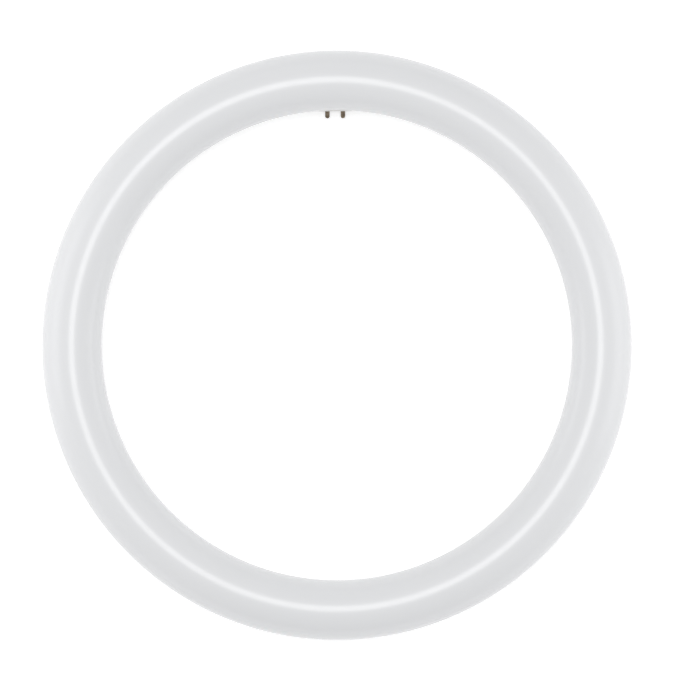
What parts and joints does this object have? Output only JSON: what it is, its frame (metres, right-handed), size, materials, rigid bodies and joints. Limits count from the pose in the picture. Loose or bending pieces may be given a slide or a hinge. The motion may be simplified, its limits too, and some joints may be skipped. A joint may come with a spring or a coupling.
{
  "type": "led circline tube",
  "caption": "Ring-shaped LED lamp tube of round section: a milky front shell on an opaque rear housing, with a plug base at its inner edge whose pins point back and inwards.",
  "frame": {"origin": "on the ring's axis, at the height of the lowest point, which is the tip of the rear pins", "axes": "+Z is the ring's axis, towards the lit front; +Y points from the ring's axis to the base; +X completes the frame"},
  "size_m": [0.2999, 0.3, 0.0342],
  "materials": {
    "diffuser": "semi-gloss, milky",
    "housing": "satin white",
    "base": "satin ivory",
    "pin_brass": "aged, satin",
    "light_board": "white coated",
    "led_package": "satin",
    "screw": "zinc plated",
    "strap": "satin",
    "driver_board": "satin",
    "resistor_body": "satin",
    "varistor_coat": "satin",
    "chip_body": "matte",
    "film_box": "gloss",
    "can_sleeve": "gloss",
    "ferrite": "matte",
    "copper_winding": "enamelled",
    "lead_white": "satin",
    "lead_red": "satin",
    "lead_black": "satin"
  },
  "bodies": {
    "root": {"base_body": "base", "board_screws": "screw", "board_straps": "strap", "bridge_rectifier": "chip_body", "chip_resistors": "chip_body", "diffuser": "diffuser", "driver_board": "driver_board", "driver_chip": "chip_body", "film_capacitor": "film_box", "fuse_resistor": "resistor_body", "inductor_core": "ferrite", "inductor_winding": "copper_winding", "input_capacitor": "can_sleeve", "input_lead_1": "lead_white", "input_lead_2": "lead_white", "input_lead_3": "lead_white", "input_lead_4": "lead_white", "led_board_1": "light_board", "led_board_2": "light_board", "led_board_3": "light_board", "led_board_4": "light_board", "led_chips_1": "led_package", "led_chips_2": "led_package", "led_chips_3": "led_package", "led_chips_4": "led_package", "output_capacitor": "can_sleeve", "output_diode": "chip_body", "output_lead_negative": "lead_black", "output_lead_positive": "lead_red", "pin_1": "pin_brass", "pin_2": "pin_brass", "pin_3": "pin_brass", "pin_4": "pin_brass", "rear_housing": "housing", "varistor": "varistor_coat"}
  },
  "joints": []
}
